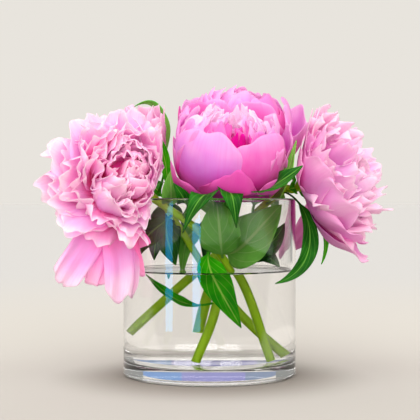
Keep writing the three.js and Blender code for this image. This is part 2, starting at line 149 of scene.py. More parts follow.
# The tone holds painted shade in front of the vase, painted light behind it and a painted shadow
# round its foot.
behind, beside, far = (
    add_node(tree, "MapRange", {**SMOOTH, 1: low, 2: high}, {0: distance})
    for distance, low, high in (
        (depth_way.outputs["Y"], -0.3, 0.15),
        (reach.outputs["Value"], 0.05, 0.15),
        (reach.outputs["Value"], 0.35, 1.6),
    )
)
painted_front_back_tone = add_node(
    tree,
    "Mix",
    {"data_type": "RGBA", 6: linear(PAINTED_SHADE_IN_FRONT), 7: linear(PAINTED_LIGHT_BEHIND)},
    {0: behind},
)
painted_shadow_tone = add_node(
    tree,
    "Mix",
    {"data_type": "RGBA", 6: linear(PAINTED_SHADOW_UNDER_VASE)},
    {0: beside, 7: painted_front_back_tone.outputs[2]},
)
tone = add_node(
    tree, "Mix", {"data_type": "RGBA", 7: linear(PAPER_FAR_OFF)}, {0: far, 6: painted_shadow_tone.outputs[2]}
)
matt = add_node(tree, "BsdfDiffuse", {"Roughness": 0.0}, {"Color": tone.outputs[2]})
add_node(tree, "OutputMaterial", None, {"Surface": matt})
floor.data.materials.append(paper)


# ---------------- studio lights
# Three very large soft lights: a key from the upper left front, a broad one that comes in low from
# the front, and a weak fill from the right. Flags, cards and strip boxes stand round the vase.

# Rows of name, strength, how wide it is, and its tilt and turn, all in degrees.
for name, strength, spread, (tilt, turn) in (
    ("soft_key", 1.2, 60, (38, -28)),
    ("soft_front", 2.4, 50, (78, 2)),
    ("soft_fill", 0.6, 70, (60, 55)),
):
    light_data = bpy.data.lights.new(name, "SUN")
    light_data.energy = strength
    light_data.angle = math.radians(spread)
    light = bpy.data.objects.new(name, light_data)
    light.rotation_euler = (math.radians(tilt), 0, math.radians(turn))
    bpy.context.collection.objects.link(light)

# The camera sees the cards only in the glass and the water. Rows of name, colour, brightness,
# centre, width and height, and tilt and turn in degrees.
CARDS = (
    ("dark_flag_front", "#1c1d1a", 1.0, (0, -3.0, 0.6), (7.0, 4.5), (90, 0)),
    ("dark_flag_front_low", "#1c1d1a", 1.0, (0, -1.6, 0.001), (5.0, 2.9), (0, 0)),
    # A glowing sheet on the floor behind the vase, seen only through glass and water: painted light
    # in place of shadowed floor.
    ("painted_light_card_behind", "#eee7dd", 1.0, (0, 15.2, 0.0005), (12, 30), (0, 0)),
    ("grey_flag_left", "#8f9290", 1.0, (-1.5, 1.1, 0.3), (1.3, 1.6), (90, 55)),
    ("grey_flag_right", "#8f9290", 1.0, (1.5, 1.1, 0.3), (1.3, 1.6), (90, -55)),
    ("blue_strip_left", "#1088c8", 12.0, (-0.119, -0.429, 0.105), (0.075, 0.2), (90, -17)),
    ("blue_strip_far_left", "#2ca0dc", 9.0, (-0.334, -0.284, 0.105), (0.074, 0.2), (90, -54)),
    ("lilac_strip_back_right", "#8fb4ea", 0.8, (1.9, 3.0, 0.455), (2.6, 0.17), (90, 0)),
    ("lilac_strip_back", "#a9a8e2", 0.8, (-0.1, 3.0, 0.455), (1.4, 0.17), (90, 0)),
    ("lilac_strip_back_left", "#9aa9c4", 0.8, (-2.1, 3.0, 0.455), (2.6, 0.17), (90, 0)),
    ("dark_strip_back", "#40505c", 1.0, (0, 3.0, 0.35), (7.0, 0.04), (90, 0)),
)

# These are seen in the glass's outer face alone, not through it.
ONLY_REFLECTED = ("dark_flag_front", "blue_strip_left", "blue_strip_far_left")

for name, colour, strength, centre, size, (tilt, turn) in CARDS:
    select_only()
    bpy.ops.mesh.primitive_plane_add(
        size=1, location=centre, rotation=(math.radians(tilt), 0, math.radians(turn))
    )
    card = bpy.context.active_object
    card.name = name
    card.scale = (size[0], size[1], 1)
    glow, tree = new_material(name)
    lit = add_node(tree, "Emission", {"Color": linear(colour), "Strength": strength})
    add_node(tree, "OutputMaterial", None, {"Surface": lit})
    card.data.materials.append(glow)
    card.visible_camera = False
    card.visible_diffuse = False
    card.visible_shadow = False
    card.visible_transmission = name not in ONLY_REFLECTED


# ---------------- the vase
# A straight cylinder of clear soda-lime glass, blown in a mould, with a thick base, a fire-polished
# lip and a slightly hollow underside. It stands on the ring round that hollow.

VASE_RADIUS = 0.076
VASE_HEIGHT = 0.1555
VASE_WALL = 0.004
VASE_BASE = 0.0125
FOOT_ROUND = 0.0035
FLOOR_ROUND = 0.005
LIP_ROUND = VASE_WALL * 0.48
HOLLOW_DEPTH = 0.0012
GLASS_SIDES = 160
NEAR = 1e-5

# The hollow underside, from its rim inwards: width of each step, and its share of the depth.
HOLLOW_STEPS = ((0.009, 0), (0.003, 0.35), (0.006, 0.35), (0.016, 0.3))


def choose(obj, mode, wanted):
    """Selects the edges or faces of obj, in edit mode, whose corners all fit wanted."""
    bpy.ops.object.mode_set(mode="EDIT")
    bpy.ops.mesh.select_mode(type=mode)
    bpy.ops.mesh.select_all(action="DESELECT")
    bpy.ops.object.mode_set(mode="OBJECT")
    where = [v.co for v in obj.data.vertices]
    for item in obj.data.edges if mode == "EDGE" else obj.data.polygons:
        if all(wanted(where[i]) for i in item.vertices):
            item.select = True
    bpy.ops.object.mode_set(mode="EDIT")


def round_off(obj, wanted, size, steps):
    """Bevels the ring of edges whose ends fit wanted."""
    choose(obj, "EDGE", wanted)
    bpy.ops.mesh.bevel(offset=size, segments=steps, affect="EDGES", clamp_overlap=True)
    bpy.ops.object.mode_set(mode="OBJECT")


def even_shading(obj):
    """Smooth shading in which the wide faces keep their own direction."""
    select_only(obj)
    bpy.ops.object.shade_smooth()
    bpy.ops.object.modifier_add(type="WEIGHTED_NORMAL")
    obj.modifiers[-1].mode = "FACE_AREA"
    obj.modifiers[-1].weight = 100
    bpy.ops.object.modifier_apply(modifier=obj.modifiers[-1].name)


def is_ring(radius, height):
    """A test for points on the circle of that radius and height."""
    return lambda p: abs(math.hypot(p.x, p.y) - radius) < 2e-4 and abs(p.z - height) < 2e-4


def clear_material(name, ior):
    """A perfectly smooth and clear material that bends light by its index of refraction."""
    material, tree = new_material(name)
    clear = add_node(
        tree,
        "BsdfPrincipled",
        {
            "Base Color": linear("#ffffff"),
            "Roughness": 0.0,
            "IOR": ior,
            "Transmission Weight": 1.0,
        },
    )
    add_node(tree, "OutputMaterial", None, {"Surface": clear})
    return material


def cylinder(name, radius, bottom, top):
    """A closed upright cylinder round the vase's axis."""
    select_only()
    bpy.ops.mesh.primitive_cylinder_add(
        vertices=GLASS_SIDES, radius=radius, depth=top - bottom, location=(0, 0, (top + bottom) / 2)
    )
    bpy.ops.object.transform_apply()
    bpy.context.active_object.name = name
    return bpy.context.active_object


vase = cylinder("glass_vase", VASE_RADIUS, 0, VASE_HEIGHT)
choose(vase, "FACE", lambda p: p.z > VASE_HEIGHT - NEAR)
bpy.ops.mesh.inset(thickness=VASE_WALL)
bpy.ops.mesh.extrude_region_move(TRANSFORM_OT_translate={"value": (0, 0, VASE_BASE - VASE_HEIGHT)})
bpy.ops.object.mode_set(mode="OBJECT")
inner = VASE_RADIUS - VASE_WALL
round_off(vase, is_ring(inner, VASE_BASE), FLOOR_ROUND, 7)
round_off(vase, is_ring(VASE_RADIUS, 0), FOOT_ROUND, 6)
for radius in (VASE_RADIUS, inner):
    round_off(vase, is_ring(radius, VASE_HEIGHT), LIP_ROUND, 5)
choose(vase, "FACE", lambda p: p.z < NEAR)
for step, rise in HOLLOW_STEPS:
    bpy.ops.mesh.inset(thickness=step)
    bpy.ops.transform.translate(value=(0, 0, HOLLOW_DEPTH * rise))
bpy.ops.object.mode_set(mode="OBJECT")
even_shading(vase)

# Fire-polished soda-lime glass: colourless, with sharp bright reflections.
vase.data.materials.append(clear_material("clear soda-lime glass", 1.5))
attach(vase, "root")
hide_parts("vase")


# ---------------- the water
# Clear still water up to 92 mm. It wets the glass, so that its edge climbs the wall a little, and
# the mesh goes a hair into the glass so that no film of air shows between the two.

WATER_LEVEL = 0.092
WETTING = 0.00015

# The edge's curve from the glass inwards: width and drop of each step.
MENISCUS = ((0.0007, 0.0009), (0.0009, 0.0005), (0.0013, 0.0002))

water_radius = VASE_RADIUS - VASE_WALL + WETTING
water_floor = VASE_BASE - WETTING
water_edge = WATER_LEVEL + sum(drop for _, drop in MENISCUS)
water = cylinder("vase_water", water_radius, water_floor, water_edge)
round_off(water, is_ring(water_radius, water_floor), FLOOR_ROUND, 7)
choose(water, "FACE", lambda p: p.z > water_edge - NEAR)
for width, drop in MENISCUS:
    bpy.ops.mesh.inset(thickness=width)
    bpy.ops.transform.translate(value=(0, 0, -drop))
bpy.ops.object.mode_set(mode="OBJECT")
even_shading(water)

# Tap water: clear and still, so it magnifies the stems and mirrors the light on its surface.
water.data.materials.append(clear_material("clear water", 1.333))
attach(water, "root")
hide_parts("water")


# ---------------- the cut stems
# Green peony stems, 6.6 mm thick, cut straight. Each one runs through the water and out of the
# vase's mouth, and widens into the green cup that carries its flower head.

STEM_RADIUS = 3.3
NECK_LENGTH = 11
CALYX_HEIGHT = 7
CUP_START = 0.93
CUP_SPREAD = 0.9
STEM_GREEN = "#96cc00"
STEM_STREAK = "#c6ea3c"
STEM_PATCH = "#9ecf14"

# name: (route of the stem from its cut end in mm, seat of the head, axis of the head)
STEMS = {
    "front": (
        [(-9.5, -8, 14), (3.5, -9, 57), (7, -5, 95), (3, 0, 130)],
        (11, -10, 159.5),
        (0.12, -0.44, 0.89),
    ),
    "back": (
        [(-7, 32, 36), (-2, 34, 65), (8, 37, 108), (20, 36, 148)],
        (27, 32, 176),
        (0.02, -0.14, 0.99),
    ),
    "right": (
        [(-52, 12, 36), (-9, 10, 90), (25, 3, 126), (52, -8, 153), (68, -13, 164)],
        (81, -18, 167),
        (0.85, -0.36, 0.36),
    ),
    "left": (
        [(42, -4, 14), (19, -12, 91), (-8, -22, 126), (-42, -26, 151), (-62, -28, 163)],
        (-77, -40, 166),
        (0.38, -0.86, 0.34),
    ),
    "rear_left": (
        [(46, 22, 15.5), (18, 18, 55), (-8, 23, 98), (-34, 27, 138), (-52, 28, 158)],
        (-58, 27, 172),
        (-0.22, -0.2, 0.95),
    ),
}


def unit(values):
    """A vector of length 1."""
    values = np.asarray(values, float)
    return values / np.linalg.norm(values)


def smooth_line(points, steps=24):
    """A smooth line through the points, as many short steps (centripetal Catmull-Rom)."""
    points = np.asarray(points, float)
    padded = np.vstack([2 * points[0] - points[1], points, 2 * points[-1] - points[-2]])
    line = []
    for i in range(len(points) - 1):
        p0, p1, p2, p3 = padded[i : i + 4]
        d0, d1, d2 = (
            math.sqrt(np.linalg.norm(b - a)) for a, b in ((p0, p1), (p1, p2), (p2, p3))
        )
        m1 = ((p1 - p0) / d0 - (p2 - p0) / (d0 + d1) + (p2 - p1) / d1) * d1
        m2 = ((p2 - p1) / d1 - (p3 - p1) / (d1 + d2) + (p3 - p2) / d2) * d1
        for t in np.arange(steps) / steps:
            line.append(
                (2 * t**3 - 3 * t**2 + 1) * p1
                + (t**3 - 2 * t**2 + t) * m1
                + (3 * t**2 - 2 * t**3) * p2
                + (t**3 - t**2) * m2
            )
    line.append(points[-1])
    return np.array(line)


def at_share(line, share):
    """The point at a share of the line's length."""
    lengths = np.concatenate([[0], np.cumsum(np.linalg.norm(np.diff(line, axis=0), axis=1))])
    wanted = share * lengths[-1]
    return np.array([np.interp(wanted, lengths, line[:, k]) for k in range(3)])


# Living stem: smooth, waxy, yellow-green, with faint lengthwise streaks and paler patches.
stem_skin, tree = new_material("peony stem")
place = add_node(tree, "TexCoord")
stretched = add_node(
    tree, "Mapping", {"Scale": (420, 420, 30)}, {"Vector": place.outputs["Object"]}
)
streaks = add_node(tree, "TexNoise", {"Scale": 1.0, "Detail": 2.0}, {"Vector": stretched})
patches = add_node(
    tree, "TexNoise", {"Scale": 45.0, "Detail": 2.0}, {"Vector": place.outputs["Object"]}
)
green = add_node(
    tree, "Mix", {"data_type": "RGBA", 6: linear(STEM_GREEN), 7: linear(STEM_STREAK)}, {0: streaks}
)
skin_tone = add_node(
    tree, "Mix", {"data_type": "RGBA", 7: linear(STEM_PATCH)}, {0: patches, 6: green.outputs[2]}
)
skin_bump = add_node(tree, "Bump", {"Strength": 0.3, "Distance": 0.0003}, {"Height": streaks})
waxy = add_node(
    tree,
    "BsdfPrincipled",
    {"Roughness": 0.38, "Specular IOR Level": 0.15},
    {"Base Color": skin_tone.outputs[2], "Normal": skin_bump},
)
add_node(tree, "OutputMaterial", None, {"Surface": waxy})

stem_lines = {}
for name, (route, seat, axis) in STEMS.items():
    head_axis = unit(axis)
    neck = np.array(seat) - head_axis * NECK_LENGTH
    end = np.array(seat) - head_axis * CALYX_HEIGHT / 4
    line = smooth_line([*route, neck, end])
    stem_lines[name] = line
    curve = bpy.data.curves.new(name + "_stem", "CURVE")
    curve.dimensions = "3D"
    curve.bevel_depth = STEM_RADIUS / 1000
    curve.bevel_resolution = 5
    curve.use_fill_caps = True
    spline = curve.splines.new("POLY")
    spline.points.add(len(line) - 1)
    for k, (point, spot) in enumerate(zip(spline.points, line)):
        share = k / (len(line) - 1)
        point.co = (*(spot / 1000), 1)
        cup = max(0, share - CUP_START) / (1 - CUP_START)
        point.radius = 1.0 + 0.03 * math.sin(9 * share) + CUP_SPREAD * cup
    stem = bpy.data.objects.new(name + "_stem", curve)
    bpy.context.collection.objects.link(stem)
    select_only(stem)
    bpy.ops.object.convert(target="MESH")
    stem = bpy.context.active_object
    bpy.ops.object.shade_smooth_by_angle(angle=math.radians(40))
    stem.data.materials.clear()
    stem.data.materials.append(stem_skin)
    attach(stem, "root")
    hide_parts("stem_" + name)


# ---------------- the leaves and sepals
# Thin peony leaflets on short stalks, folded along a raised midrib, green and waxy above and paler
# and matt beneath. Three small sepals spread under each head.

LEAF_THICKNESS = 0.00045
LEAF_FOLD = 0.22
LEAF_WAVE = 0.07
VEIN_DEPTH = 0.012
STALK_SHARE = 0.22
STALK_WIDTH = 2.4
TIP_WIDTH = 0.7
LEAF_GLOW = 0.22
SEPAL_COUNT = 3
SEPAL_REACH = 17

# stem: rows of (share of the stem's length that it grows from, two points that its curve leans
# towards, tip, width, the way that it faces, which of the skins is on that side)
LEAVES = {
    "front": [
        (0.74, (6, -50, 150), (2, -98, 186), (-22, -80, 127), 26, (-0.4, -0.7, 0.6), "deep"),
        (0.78, (14, -50, 150), (17, -98, 186), (22, -79, 131), 24, (0.3, -0.7, 0.6), "deep"),
        (0.36, (-14, -24, 58), (-30, -26, 70), (-47, -22, 90), 14, (0.2, -0.5, 0.85), "upper"),
    ],
    "back": [
        (0.72, (14, 62, 172), (16, 92, 182), (14, 98, 130), 22, (0, 0.7, 0.6), "upper"),
        (0.8, (42, 50, 172), (64, 70, 182), (70, 74, 128), 24, (0.6, 0.5, 0.6), "upper"),
        (0.6, (30, 44, 110), (48, 38, 120), (58, 36, 146), 20, (-0.5, -0.7, 0.3), "deep"),
        (0.62, (-14, 34, 128), (-24, 30, 134), (-25, 24, 84), 18, (0.3, -0.9, 0.1), "under"),
        (0.56, (2, 20, 120), (0, 22, 150), (-4, 24, 92), 22, (-0.2, -0.9, 0.1), "deep"),
    ],
    "right": [
        (0.5, (20, -22, 98), (34, -36, 122), (61, -26, 150), 44, (-0.3, -0.85, 0.3), "under"),
        (0.6, (30, -16, 106), (50, -26, 104), (64, -22, 134), 24, (0.1, -0.9, 0.3), "deep"),
        (0.64, (34, -10, 112), (50, -14, 108), (60, -22, 96), 17, (0.1, -0.8, 0.5), "deep"),
        (0.9, (88, -44, 156), (100, -48, 96), (55, -58, 84), 16, (0.5, -0.8, 0.3), "deep"),
        (0.72, (36, -38, 160), (44, -96, 158), (76, -84, 182), 28, (0.1, -0.6, 0.7), "deep"),
        (0.8, (60, -46, 156), (66, -62, 174), (74, -38, 205), 23, (-0.9, -0.4, 0.2), "under"),
        (0.94, (90, 14, 168), (112, 6, 126), (99, 2, 97), 12, (0.7, -0.5, 0.4), "upper"),
    ],
    "left": [
        (0.43, (10, -34, 104), (8, -68, 136), (6, -44, 152), 35, (0, -0.9, -0.4), "under"),
        (0.5, (-8, -44, 104), (4, -60, 86), (25, -56, 47), 25, (0.2, -0.95, 0.2), "upper"),
        (0.74, (-30, -30, 150), (-34, -52, 160), (-32, -57, 179), 19, (0.2, -0.9, 0.3), "under"),
        (0.66, (-14, -40, 140), (-18, -58, 152), (-30, -60, 168), 15, (-0.3, -0.7, 0.6), "deep"),
        (0.7, (-40, -20, 130), (-56, -14, 130), (-62, -12, 104), 20, (0.3, -0.9, 0.3), "deep"),
        (0.72, (-38, 4, 170), (-34, -14, 218), (-66, -20, 215), 11, (-0.28, -0.86, -0.4), "upper"),
    ],
    "rear_left": [
        (0.9, (-36, 62, 180), (-34, 66, 262), (-70, 60, 241), 20, (0.3, 0.3, 0.9), "upper"),
        (0.8, (-46, 44, 172), (-64, 64, 182), (-72, 72, 126), 22, (-0.6, 0.5, 0.6), "upper"),
        (0.74, (-44, 10, 146), (-40, 6, 120), (-30, 8, 96), 26, (0.2, -0.9, 0.2), "deep"),
        (0.7, (-20, 30, 150), (-52, 24, 140), (-50, 16, 100), 30, (0.1, -0.9, 0.2), "deep"),
    ],
}


def scatter(seed, k):
    """A repeatable random number from -1 to 1 for any pair of numbers."""
    wave = math.sin(seed * 127.1 + k * 311.7) * 43758.5453
    return 2 * (wave - math.floor(wave)) - 1


def leaf_points(leaf, line, share, v, seed):
    """The middle surface of a leaf in mm, for share from stalk to tip and v from edge to edge."""
    at, by, over, tip, width, upper, _ = leaf
    p0, p1, p2, p3 = (np.array(p, float) for p in (at_share(line, at), by, over, tip))
    t = share[:, None]
    middle = (1 - t) ** 3 * p0 + 3 * (1 - t) ** 2 * t * p1 + 3 * (1 - t) * t**2 * p2 + t**3 * p3
    along = 3 * (1 - t) ** 2 * (p1 - p0) + 6 * (1 - t) * t * (p2 - p1) + 3 * t**2 * (p3 - p2)
    along /= np.linalg.norm(along, axis=1)[:, None]
    side = np.cross(along, unit(upper))
    side /= np.linalg.norm(side, axis=1)[:, None]
    up = np.cross(side, along)
    blade = np.clip((share - STALK_SHARE) / (1 - STALK_SHARE), 0, 1)
    belly = np.sin(math.pi * blade**0.8) ** 0.85
    half = np.maximum(STALK_WIDTH + (TIP_WIDTH - STALK_WIDTH) * share, width * belly) / 2
    fold = LEAF_FOLD * (np.sqrt(v**2 + 0.02) - 0.14) * half
    wave = LEAF_WAVE * half * v**2 * np.sin(15 * blade + 2 * np.sign(v) + 3 * scatter(seed, 1))
    ribs = np.abs(np.sin(14 * blade - 7 * np.abs(v)))
    lift = fold + wave - VEIN_DEPTH * width * ribs * (1 - v**2) * belly
    return middle + side * (v * half)[:, None] + up * lift[:, None]


def leaf_material(name, blade_colour, patch_colour, vein_colour, roughness, coat):
    """Leaf skin with a midrib and curved side veins, drawn on the leaf's own UV map."""
    material, tree = new_material(name)
    uv = add_node(tree, "UVMap", {"uv_map": "UVMap"})
    parts = add_node(tree, "SeparateXYZ", None, {0: uv})
    middle = add_node(tree, "Math", {"operation": "SUBTRACT", 1: 0.5}, {0: parts.outputs["X"]})
    off = add_node(tree, "Math", {"operation": "ABSOLUTE"}, {0: middle})
    midrib = add_node(tree, "MapRange", {**SMOOTH, 1: 0.015, 2: 0.05, 3: 1.0, 4: 0.0}, {0: off})
    slant = add_node(tree, "Math", {"operation": "MULTIPLY", 1: -14.0}, {0: off})
    along = add_node(
        tree, "Math", {"operation": "MULTIPLY_ADD", 1: 18.0}, {0: parts.outputs["Y"], 2: slant}
    )
    wave = add_node(tree, "Math", {"operation": "SINE"}, {0: along})
    near = add_node(tree, "Math", {"operation": "ABSOLUTE"}, {0: wave})
    side_veins = add_node(tree, "MapRange", {**SMOOTH, 1: 0.04, 2: 0.2, 3: 0.6, 4: 0.0}, {0: near})
    veins = add_node(tree, "Math", {"operation": "MAXIMUM"}, {0: midrib, 1: side_veins})
    place = add_node(tree, "TexCoord")
    mottle = add_node(
        tree, "TexNoise", {"Scale": 60.0, "Detail": 4.0}, {"Vector": place.outputs["Object"]}
    )
    patches = add_node(tree, "MapRange", {1: 0.35, 2: 0.7}, {0: mottle})
    blade = add_node(
        tree,
        "Mix",
        {"data_type": "RGBA", 6: linear(blade_colour), 7: linear(patch_colour)},
        {0: patches},
    )
    tone = add_node(
        tree, "Mix", {"data_type": "RGBA", 7: linear(vein_colour)}, {0: veins, 6: blade.outputs[2]}
    )
    bump = add_node(tree, "Bump", {"Strength": 0.4, "Distance": 0.0004}, {"Height": veins})
    skin = add_node(
        tree,
        "BsdfPrincipled",
        {"Roughness": roughness, "Specular IOR Level": coat},
        {"Base Color": tone.outputs[2], "Normal": bump},
    )
    through = add_node(tree, "BsdfTranslucent", None, {"Color": tone.outputs[2]})
    blend = add_node(tree, "MixShader", {0: LEAF_GLOW}, {1: skin, 2: through})
    add_node(tree, "OutputMaterial", None, {"Surface": blend})
    return material


# A leaf's upper face is a fresh waxy green, and a darker, a little glossier copy of it is painted
# shade for leaves that are seen in shade. The lower face is paler and matt. All have paler veins.
leaf_upper = leaf_material("peony leaf, upper face", "#24aa00", "#48cc04", "#a8dc54", 0.45, 0.06)
leaf_in_painted_shade = leaf_material("peony leaf, upper face in painted shade", "#0e4c08", "#20700e", "#62a038", 0.4, 0.12)
leaf_under = leaf_material("peony leaf, lower face", "#70bc44", "#84ca54", "#a8d474", 0.6, 0.06)


def blank(along, across):
    """A flat sheet of along x across faces, 2 units wide, as a start for a leaf or a petal."""
    select_only()
    bpy.ops.mesh.primitive_grid_add(x_subdivisions=across, y_subdivisions=along, size=2)
    sheet = bpy.context.active_object
    bpy.ops.object.shade_smooth()
    places = np.empty(len(sheet.data.vertices) * 3)
    sheet.data.vertices.foreach_get("co", places)
    places = places.reshape(-1, 3)
    return sheet, (places[:, 1] + 1) / 2, places[:, 0]


def copy_shaped(sheet, points_mm):
    """A copy of a sheet with its own mesh, bent to the given points."""
    piece = sheet.copy()
    piece.data = sheet.data.copy()
    bpy.context.collection.objects.link(piece)
    piece.data.vertices.foreach_set("co", (points_mm / 1000).ravel())
    return piece


def join_all(pieces, name):
    """Joins the pieces into the first one."""
    select_only(*pieces)
    bpy.ops.object.join()
    pieces[0].name = name
    pieces[0].data.name = name
    return pieces[0]


def thicken(obj, thickness, other_side):
    """Gives a sheet its thickness, half to each side, and applies it."""
    select_only(obj)
    bpy.ops.object.modifier_add(type="SOLIDIFY")
    wall = obj.modifiers[-1]
    wall.thickness = thickness
    wall.offset = 0
    wall.material_offset = other_side
    wall.material_offset_rim = 0
    bpy.ops.object.modifier_apply(modifier=wall.name)


def sepal_rows(name, seed):
    """Three small bracts round a stem's end, as rows of the leaf table."""
    _, seat, axis = STEMS[name]
    seat = np.array(seat)
    z = unit(axis)
    x = unit(np.array([1, 0, 0]) - z * z[0])
    y = np.cross(z, x)
    rows = []
    for i in range(SEPAL_COUNT):
        around = 2 * math.pi * (i + 0.2 * scatter(seed, i + 60)) / SEPAL_COUNT
        out = x * math.cos(around) + y * math.sin(around)
        # It starts in the cup, lies close under the petals and dips a little at its tip.
        by = seat - 6 * z + 5 * out
        over = seat - 5 * z + 12 * out
        tip = seat - 7 * z + SEPAL_REACH * out
        rows.append((0.97, by, over, tip, 12, z, "upper"))
    return rows


# A leaf's first skin is on the face that is turned as its row says, and the next one is behind it.
# The deep skin is the upper face in painted shade.
LEAF_SKINS = (leaf_upper, leaf_under, leaf_upper, leaf_in_painted_shade, leaf_under)
FIRST_SKIN = {"upper": 0, "under": 1, "deep": 3}

leaf_blank, leaf_share, leaf_v = blank(30, 12)
for seed, (name, rows) in enumerate(LEAVES.items()):
    pieces = []
    for k, leaf in enumerate(rows + sepal_rows(name, seed)):
        spots = leaf_points(leaf, stem_lines[name], leaf_share, leaf_v, 10 * seed + k)
        piece = copy_shaped(leaf_blank, spots)
        turned = FIRST_SKIN[leaf[-1]]
        piece.data.polygons.foreach_set("material_index", [turned] * len(piece.data.polygons))
        pieces.append(piece)
    for piece in pieces:
        for skin in LEAF_SKINS:
            piece.data.materials.append(skin)
    leaves = join_all(pieces, name + "_leaves")
    thicken(leaves, LEAF_THICKNESS, 1)
    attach(leaves, "root")
    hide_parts("stem_" + name)
bpy.data.objects.remove(leaf_blank)


# ---------------- the front flower head
# A half-open double peony: large smooth guard petals closed into a bowl round many crinkled inner
# petals. Petals are thin living tissue, so light passes through them and gathers in the depths.

PETAL_THICKNESS = 0.0003
GUARD_FACES = (26, 28)
INNER_FACES = (18, 22)
CLEARANCE = 0.7
PRESS_LENGTH = 5
RIM_HEIGHT = VASE_HEIGHT * 1000
RIM_RADIUS = VASE_RADIUS * 1000
RIM_CLEARANCE = 2.4
RIM_FULL = 6.4
RIM_FADE = 26
MOUTH_RADIUS = 62
MOUTH_FADE = 7
SINK = 6
BROADEST = 0.6
CLAW_WIDTH = 0.22
CLEFT_WIDTH = 0.18
TIP_NARROWING = 0.22
TIP_ROUNDING = 0.26
INNER_ROUNDING = 0.24
HANGING_TIP = 0.12
ROOT_HEIGHT = 3
PATH_STEPS = 108
OPEN_RINGS = 4
CORE_SPARE = 3
CORE_DEPTH = 0.8
FRILL_WHITE = "#fbe8f5"
PETAL_GLOW = 0.5
SHADOW_PASS = 0.88

# Two heads that press on each other stay on either side of a plane: its point, and the way to the
# second head.
PRESSED = (
    ("front", "back", (20, 2, 205), (0.1, 0.82, 0.56)),
    ("front", "right", (69, -30, 180), (0.97, 0.05, -0.22)),
    ("front", "left", (-37.5, -38, 180), (-1, -0.02, 0.05)),
    ("front", "rear_left", (-33, 2, 195), (-0.86, 0.48, 0.1)),
    ("back", "right", (84, 18, 195), (0.9, -0.3, -0.32)),
    ("back", "rear_left", (-36, 30, 205), (-0.99, 0, -0.05)),
    ("left", "rear_left", (-66, -4, 200), (0.28, 0.86, 0.4)),
)


def keep_above(x, low, reach):
    """x unchanged well above low, and bent smoothly so that it never falls below it."""
    return low + reach * np.logaddexp(0, (x - low) / reach)


def bend_clear(spots, name, seat, spare):
    """Bends points of a head clear of the heads beside it, by spare more, and of the vase."""
    for first, second, at, towards in PRESSED:
        if name not in (first, second):
            continue
        normal = unit(towards) * (-1 if name == first else 1)
        depth = (spots - np.array(at)) @ normal
        spots = spots + np.outer(keep_above(depth, CLEARANCE + spare, PRESS_LENGTH) - depth, normal)
    reach = np.hypot(spots[:, 0], spots[:, 1])
    if math.hypot(seat[0], seat[1]) < RIM_RADIUS:
        over_wall = np.clip((reach - MOUTH_RADIUS) / MOUTH_FADE, 0, 1)
        lowest = RIM_HEIGHT + RIM_CLEARANCE - SINK * (1 - over_wall)
        spots[:, 2] = keep_above(spots[:, 2], lowest, 2)
        return spots
    grown = keep_above(reach, RIM_RADIUS + RIM_CLEARANCE, 3) / reach
    fade = np.clip((RIM_HEIGHT + RIM_FADE - spots[:, 2]) / (RIM_FADE - RIM_FULL), 0, 1)
    spots[:, :2] *= (1 + fade * (grown - 1))[:, None]
    return spots


def petal_points(petal, share, v):
    """The middle surface of a petal in its head's own frame, in mm, root to tip and across."""
    out = np.array([math.cos(petal["azimuth"]), math.sin(petal["azimuth"]), 0])
    across_way = np.array([-out[1], out[0], 0])
    phase = petal["phase"]
    u = petal["from"] + (1 - petal["from"]) * share
    lobes = 0.5 + 0.5 * np.sin(petal["lobes"] * v + 2 * phase)
    split = np.exp(-(((v - petal["split"]) / CLEFT_WIDTH) ** 2))
    s = u - petal["rounding"] * u**3 * v**2
    s = s - u**6 * (petal["notch"] * lobes + petal["cleft"] * split)
    # Its middle line turns evenly from the start angle to the end angle, and curls at the tip.
    path = np.linspace(-0.05, 1.02, PATH_STEPS)
    angles = petal["start"] + (petal["end"] - petal["start"]) * path
    angles = angles + petal["curl"] * np.clip(path, 0, 1) ** 5
    step = path[1] - path[0]
    radii = np.cumsum(np.sin(angles)) * step * petal["length"]
    heights = np.cumsum(np.cos(angles)) * step * petal["length"]
    radii += petal["root"] - np.interp(0, path, radii)
    heights += ROOT_HEIGHT - np.interp(0, path, heights)
    angle = np.interp(s, path, angles)
    r = np.interp(s, path, radii)
    belly = np.sin(math.pi / 2 * np.minimum(1, u / BROADEST)) ** 0.9
    tip = 1 - petal["narrowing"] * (np.maximum(0, u - BROADEST) / (1 - BROADEST)) ** 2
    half = petal["width"] / 2 * (CLAW_WIDTH + (1 - CLAW_WIDTH) * belly) * tip
    across = v * half
    roll = np.maximum(10, np.abs(r)) / petal["wrap"]
    lean = petal["twist"] * u
    edge = np.clip((u - 0.5) / 0.5, 0, 1) ** 1.6 * (0.35 + 0.65 * v**2) + 0.25 * v**6 * u
    # Two crossing waves crinkle the edge, and two slower ones ruffle the whole petal.
    crinkle = petal["crinkle"] * edge * (
        np.sin(8.5 * v + 2.4 * np.sin(6 * u + phase) + 3 * phase)
        + 0.55 * np.sin(19 * v - 7 * u + 5 * phase)
    )
    lift = (
        petal["cup"] * 2 * across**2 / petal["width"]
        + petal["fold"] * np.sqrt(across**2 + 4) * u
        + petal["ruffle"] * u**2 * (0.25 + 0.75 * np.abs(v)) * np.sin(2.6 * math.pi * v + phase)
        + petal["ruffle"] * 0.5 * u**4 * np.sin(5 * v + 2 * phase)
        + crinkle
        - petal["proud"] * np.clip(3 * u, 0, 1)
    )
    inward = np.outer(-np.cos(angle), out)
    inward[:, 2] += np.sin(angle)
    spots = np.outer(r - roll * (1 - np.cos(across / roll)), out)
    spots[:, 2] += np.interp(s, path, heights)
    spots += np.outer(roll * np.sin(across / roll) * np.cos(lean), across_way)
    spots += inward * (lift + across * np.sin(lean))[:, None]
    return spots


